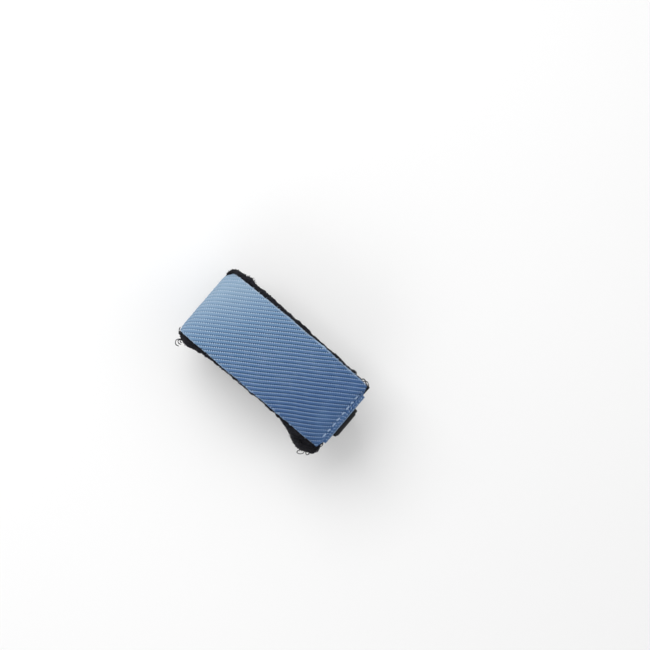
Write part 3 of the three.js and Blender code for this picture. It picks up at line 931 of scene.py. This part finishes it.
def make_fray(rail):
    """Pale weft ends that stand out of the denim's two cut edges, and a nap where it rubs."""
    points, s, sides = rail
    rng = np.random.default_rng(23)
    parts = []
    for sign, extra in ((-1, 0.07), (-1, 0.05), (1, 0.11), (1, 0.07)):
        at = np.arange(FOLD_LENGTH + 3.2, s[-1] - FOLD_LENGTH - 2, WEFT_PITCH * 0.8)
        count = len(at)
        at = at + rng.normal(0, 0.1, count)
        flat = at_distances(at, s, points)
        across = sign * (DENIM_EDGE - 0.5) + (sign > 0) * head_bow(flat[:, 0])
        tuck = corner_tuck(flat, (across + 0.5 * sign)[:, None])[:, 0]
        roots, normal = spot(rail, at, across, rng.uniform(-0.35, 0.2, count) - tuck)
        long = rng.gamma(2.0, extra, (count, 1)) + 0.44
        droop, sway = rng.normal(-0.15, 0.25, (count, 1)), rng.normal(0, 0.4, (count, 1))
        drift = normal * droop + [1, 0, 0] * sway
        parts.append(fibres(roots, long * [0, sign, 0], long * drift, rng.uniform(0.04, 0.085, count)))
    # a short nap of broken fibres round the bend and down the wall
    count = 420
    bend = s[(points[:, 0] < -HALF_SPAN + 3.0) & (sides[:, 0] < 0.2)]
    at = rng.uniform(bend.min(), bend.max(), count)
    across = rng.uniform(-DENIM_EDGE + 0.2, DENIM_EDGE - 0.2, count)
    tuck = corner_tuck(at_distances(at, s, points), across[:, None])[:, 0]
    roots, normal = spot(rail, at, across, DENIM_THICK / 2 - 0.16 - tuck)
    way = normal * rng.uniform(0.25, 0.55, (count, 1))
    drift = np.concatenate([rng.normal(0, spread, (count, 1)) for spread in (0.14, 0.22, 0.14)], 1)
    parts.append(fibres(roots, way, drift, rng.uniform(0.018, 0.034, count)))
    fibre_object("denim_weft_ends", parts, weft_thread, "denim")


# ---- sewn threads
def lockstitches(rail, index, length, out_at, stitches, radius, seed, aside=0.0):
    """A row of three-ply stitches along the neck's length, at one of a rail's places."""
    rng = np.random.default_rng(seed)
    base, normal = rail[0][index], rail[2][index]
    along = np.array([normal[1], -normal[0]])
    holes = np.linspace(-length / 2, length / 2, stitches + 1)
    t = np.linspace(0, 1, 15)
    plies = []
    for a, b in zip(holes[:-1], holes[1:]):
        long = (b - a) * rng.uniform(0.62, 0.78)
        y = (a + b) / 2 + long * (t - 0.5) + rng.normal(0, 0.06)
        rise = out_at + radius * (2.9 * np.sin(math.pi * t) ** 0.7 - 2.6) + rng.normal(0, 0.03)
        lean = 0.12 * (t - 0.5) + rng.normal(0, 0.03)
        path = place(base + normal * rise[:, None] + along * lean[:, None], y + aside)
        for ply in range(3):
            turn = 2 * math.pi * (ply / 3 + t * 2.2)
            plies.append(path + spokes(turn, upright(along), upright(normal)) * radius * 0.42)
    return [tubes(plies, radius * 0.62, 6, 0.5)]


def make_seam_threads(rail):
    points, s, _ = rail
    hem = (HALF_SPAN - STITCH_INSET, DENIM_LEVEL)
    wall = on_wall(WALL_LENGTH - STITCH_INSET + 0.45, 0)
    outer = (s > FOLD_LENGTH + 1.2) & (s < s[-1] - FOLD_LENGTH - 1.2)
    rows = (
        ("hem_stitches", "hem_thread", hem, HEM_SEAM, HEM_STITCHES, 61),
        ("wall_stitches", "wall_thread", wall, WALL_SEAM, WALL_STITCHES, 62),
    )
    for name, node, near, length, stitches, seed in rows:
        index = np.argmin(np.where(outer, np.linalg.norm(points - near, axis=1), 99))
        row = lockstitches(rail, index, length, 0.3, stitches, 0.25, seed)
        fibre_object(name, row, pale_thread, "pale_thread", "band", node)


# ---- webbing, ring and tapes
def webbing(name, line, follow, nodes, share=lambda points, s: 1, uv_from=0.0):
    """A length of ribbed webbing, and its share of full width at the rail's places."""
    half = STRAP_WIDE / 2 - 0.25
    section = flat_section(half, STRAP_THICK, 81, 5, 81)
    ribs = 0.035 * np.cos(section[:, 0] * 2 * math.pi / RIB_PITCH)
    section[:, 1] += np.where(np.abs(section[:, 0]) < half - 0.2, ribs, 0) * np.sign(section[:, 1])
    rail, across, out = band_grid(line, 0.24, section)
    points, s, _ = rail
    width = (1 - 0.012 * ripple(s, 0, 14.0, 51)) * share(points, s)
    across = across * width[:, None]
    uv = (s[:, None] + uv_from, across)
    obj = band_object(name, rail, across, out, webbing_cloth, STRAP_ASIDE, uv)
    return settle(obj, "webbing", follow, *nodes)


def up_line():
    return course(
        ((INNER_X, SPLIT_LEVEL - PART_ROOM),),
        ((INNER_X - 0.8, 8), 12),
        ((15.5, STRAP_THICK / 2), 12),
        ((0, STRAP_THICK / 2),),
    )


TAIL_OFFSET, TAIL_LONG = 2 * TAB_TURN, 13.2


def tail_run():
    return shifted(stretch(up_line(), 0.05, TAIL_LONG), TAIL_OFFSET)


def make_strap():
    across_line = course(
        ((0, STRAP_THICK / 2),),
        ((-15.5, STRAP_THICK / 2), 12),
        (on_wall(WALL_LENGTH + 3.6, WEB_DEPTH), 7),
        (on_wall(WALL_FOLD + 0.6, WEB_DEPTH),),
    )
    turn = course(
        ((OUTER_X, RING_LOW - 0.2),),
        ((OUTER_X, RING_LOW + TAB_TURN), TAB_TURN),
        ((INNER_X, RING_LOW + TAB_TURN), TAB_TURN),
        ((INNER_X, SPLIT_LEVEL),),
    )
    whole = np.concatenate([turn, up_line(), across_line[1:]])
    webbing("strap", whole, "strap bend", ("back_strap", "strap_turn"))

    def rounded_tip(points, s):
        return 0.8 + 0.2 * np.sqrt(np.clip((s[-1] - s) / 1.1, 0, 1))

    top = np.array([[OUTER_X, RING_LOW - 0.25]])
    end = np.concatenate([top, tail_run()])
    webbing("strap_end", end, "tail fold", ("strap_tail",), rounded_tip, uv_from=1.0)


def make_tab():
    line = course(
        (on_hem(TAB_END, WEB_DEPTH),),
        (hem_at(OUTER_X, WEB_DEPTH), 1.0),
        ((OUTER_X, RING_TOP - TAB_TURN), TAB_TURN),
        ((INNER_X, RING_TOP - TAB_TURN), TAB_TURN),
        (hem_at(INNER_X, SECOND_WEB_DEPTH), 1.0),
        (on_hem(TAB_END, SECOND_WEB_DEPTH),),
    )

    def pinch(points, s):
        """The elastic's edges curl in where it turns round the bar."""
        return 1 - 0.24 * smooth(HALF_SPAN - 0.3, HALF_SPAN + 1.3, points[:, 0]) ** 2

    webbing("ring_webbing", line[::-1], "band", ("ring_tab",), pinch)


def make_ring():
    """An oblong ring of round-edged bar, with softly squared corners."""
    corner, squareness, around = 1.6, 4.2, 20
    half_wide = (STRAP_WIDE + 1.2 + BAR_THICK) / 2 - corner
    half_high = (SLOT_HIGH + BAR_THICK) / 2 - corner
    turn = np.radians(np.linspace(0, 90, 9))
    quarters = ((1, 1), (-1, 1), (-1, -1), (1, -1))
    run = np.concatenate([
        np.array([y * half_wide, z * half_high]) + corner * spokes(turn + k * math.pi / 2, [1, 0], [0, 1])
        for k, (y, z) in enumerate(quarters)
    ])
    out = -left_of(np.roll(run, -1, 0) - np.roll(run, 1, 0))
    round_bar = spokes(np.arange(around) * 2 * math.pi / around, [1, 0], [0, 1])
    bar = np.sign(round_bar) * np.abs(round_bar) ** (2 / squareness) * BAR_THICK / 2
    at = run[:, None] + out[:, None] * bar[:, :1] + [STRAP_ASIDE, (RING_TOP + RING_LOW) / 2]
    x = np.broadcast_to(RING_X + SHIFT_X + bar[:, 1], at.shape[:2])
    verts = np.concatenate([x[..., None], at], -1)
    index = np.arange(x.size).reshape(x.shape)
    obj = mesh_object("ring_frame", verts, [quads(np.roll(index, -1, 0), index)], ring_plastic)
    settle(obj, "ring_plastic", "ring", "strap_ring")


# One moulded hook, as distances along the tape and out of its face
HOOK = np.array([(0, 0), (0.02, 0.28), (0.06, 0.46), (0.17, 0.56), (0.28, 0.5), (0.3, 0.4)])


def make_tapes():
    """The loop tape on the strap and the hook tape in its tail: bases, loops, hooks, stitches."""
    offset, base, half = STRAP_THICK / 2 + PLY + TAPE_THICK / 2, 0.55, TAPE_WIDE / 2
    loop_run = shifted(stretch(up_line(), 0.8, TAIL_LONG + 2.2), offset)
    hook_run = shifted(stretch(up_line(), 3.4, TAIL_LONG - 0.4), TAIL_OFFSET - offset)
    for name, slot, run, follow, material, away in (
        ("loop_tape_cloth", "loop_tape", loop_run, "strap bend", pile, -1),
        ("hook_tape_base", "hook_tape", hook_run, "tail", hook_plastic, 1),
    ):
        section = flat_section(half - 0.15, base, 41, 3, 41)
        rail, across, out = band_grid(run, 0.3, section)
        out = out + away * (TAPE_THICK - base) / 2
        settle(band_object(name, rail, across, out, material, STRAP_ASIDE), slot, follow, slot)

    rng = np.random.default_rng(71)
    rail = spaced(loop_run, 0.2)
    end, count = rail[1][-1], 900
    at, across = rng.uniform(0.3, end - 0.3, count), rng.uniform(-half + 0.3, half - 0.3, count)
    roots, normal = spot(rail, at, across + STRAP_ASIDE, 0.02)
    loops = loops_at(roots, normal, rng, (0.3, 0.62), (0.1, 0.28), 0.05)
    fibre_object("loop_tape_loops", [loops], pile_loops, "loop_tape", "strap bend")

    rail = spaced(hook_run, 0.2)
    pitch_along, pitch_across = 0.8, 0.62
    rows = np.arange(0.5, rail[1][-1] - 0.3, pitch_along)
    lanes = np.arange(-half + 0.6, half - 0.5, pitch_across)
    at, across = [g.ravel() for g in np.meshgrid(rows, lanes)]
    roots, normal = spot(rail, at, across + STRAP_ASIDE, 0.05)
    path = roots[:, None] + onward(normal)[:, None] * HOOK[:, :1] - normal[:, None] * HOOK[:, 1:]
    fibre_object("hook_tape_hooks", [tubes(path, 0.075, 5, 0.8)], hook_plastic, "hook_tape", "tail")

    rows = (
        ("tail_stitches_1", "hook_thread_1", tail_run(), 4.8, STRAP_THICK / 2, "tail"),
        ("tail_stitches_2", "hook_thread_2", tail_run(), -1.6, STRAP_THICK / 2, "tail"),
        ("tape_stitches_1", "loop_thread_1", loop_run, 1.2, 0.05, "strap bend"),
        ("tape_stitches_2", "loop_thread_2", loop_run, -1.2, 0.05, "strap bend"),
    )
    for seed, (name, node, run, at, level, follow) in enumerate(rows, 80):
        rail = spaced(run, 0.1)
        index = np.argmin(np.abs(rail[1] - at % rail[1][-1]))
        row = lockstitches(rail, index, TAPE_WIDE - 1.4, level + 0.13, 6, 0.13, seed, STRAP_ASIDE)
        fibre_object(name, row, black_thread, "black_thread", follow, node)


# ---- camera, light and floor
def make_camera():
    """Straight down on the face, the band lying from upper left to lower right."""
    view_width, lens, sensor = 198.4, 100.0, 36.0
    right, up = np.array([0.762, 0.648]), np.array([-0.648, 0.762])
    x, y = right * 14.87 + up * 11.2
    top = DENIM_LEVEL + DENIM_THICK / 2
    data = bpy.data.cameras.new("camera")
    data.lens, data.sensor_width = lens, sensor
    data.clip_start, data.clip_end = 0.01, 10
    cam = add_object("camera", data)
    cam.location = np.array([x + SHIFT_X, y, top + view_width * lens / sensor]) * MM
    cam.rotation_euler = (0, 0, math.atan2(right[1], right[0]))
    bpy.context.scene.camera = cam
    bpy.context.scene.view_settings.view_transform = "Standard"


def make_studio():
    for name, at, target, size, power in (
        ("key", (-0.3, 0.1, 0.44), (0, 0, 0.02), 0.42, 1.7),
        ("fill", (0.45, 0.3, 0.45), (0, 0, 0.01), 0.5, 0.5),
        ("front", (0.1, -0.5, 0.35), (0, 0, 0.01), 0.4, 0.5),
    ):
        data = bpy.data.lights.new(name, "AREA")
        data.shape, data.size, data.energy = "SQUARE", size, power
        lamp = add_object(name, data)
        lamp.location = at
        lamp.rotation_mode = "QUATERNION"
        lamp.rotation_quaternion = (Vector(target) - Vector(at)).to_track_quat("-Z", "Y")

    world = bpy.data.worlds.new("studio")
    world.use_nodes = True
    sky = world.node_tree.nodes["Background"].inputs
    sky["Color"].default_value = (1, 1, 1, 1)
    sky["Strength"].default_value = 0.62
    bpy.context.scene.world = world

    n = Nodes("pale_floor")
    shade = n.mix(n.noise(3), (0.86, 0.86, 0.86), (0.9, 0.9, 0.9))
    material = n.finish(shade, 0.9)
    half, level = 3000, -0.04
    corners = [(x * half, y * half, level) for x, y in ((-1, -1), (1, -1), (1, 1), (-1, 1))]
    floor = mesh_object("floor", corners, [[[0, 1, 2, 3]]], material)


# ---- the scene
make_camera()
make_studio()

denim = denim_material()
felt = felt_material()
pile = pile_material("pile_ground", (0.004, 0.004, 0.007), (0.016, 0.015, 0.021))
pile_loops = pile_material("pile_loops", (0.006, 0.006, 0.009), (0.026, 0.024, 0.032))
webbing_cloth = webbing_material()
weft_thread = thread_material("weft_yarn", (0.25, 0.35, 0.5), (0.52, 0.62, 0.72))
pale_thread = thread_material("pale_thread", (0.17, 0.27, 0.43), (0.34, 0.45, 0.6))
black_thread = thread_material("black_thread", (0.018, 0.018, 0.02), (0.06, 0.06, 0.066))
ring_plastic = plastic_material("ring_plastic", 0.34)
hook_plastic = plastic_material("hook_plastic", 0.45)

denim_band, denim_rail = make_denim()
felt_filling = make_felt()
lining_cloth, lining_rail = make_lining()
make_pile(lining_rail)
make_rolls()
make_loose_ends()
make_fray(denim_rail)
make_seam_threads(denim_rail)
make_tab()
make_ring()
make_strap()
make_tapes()
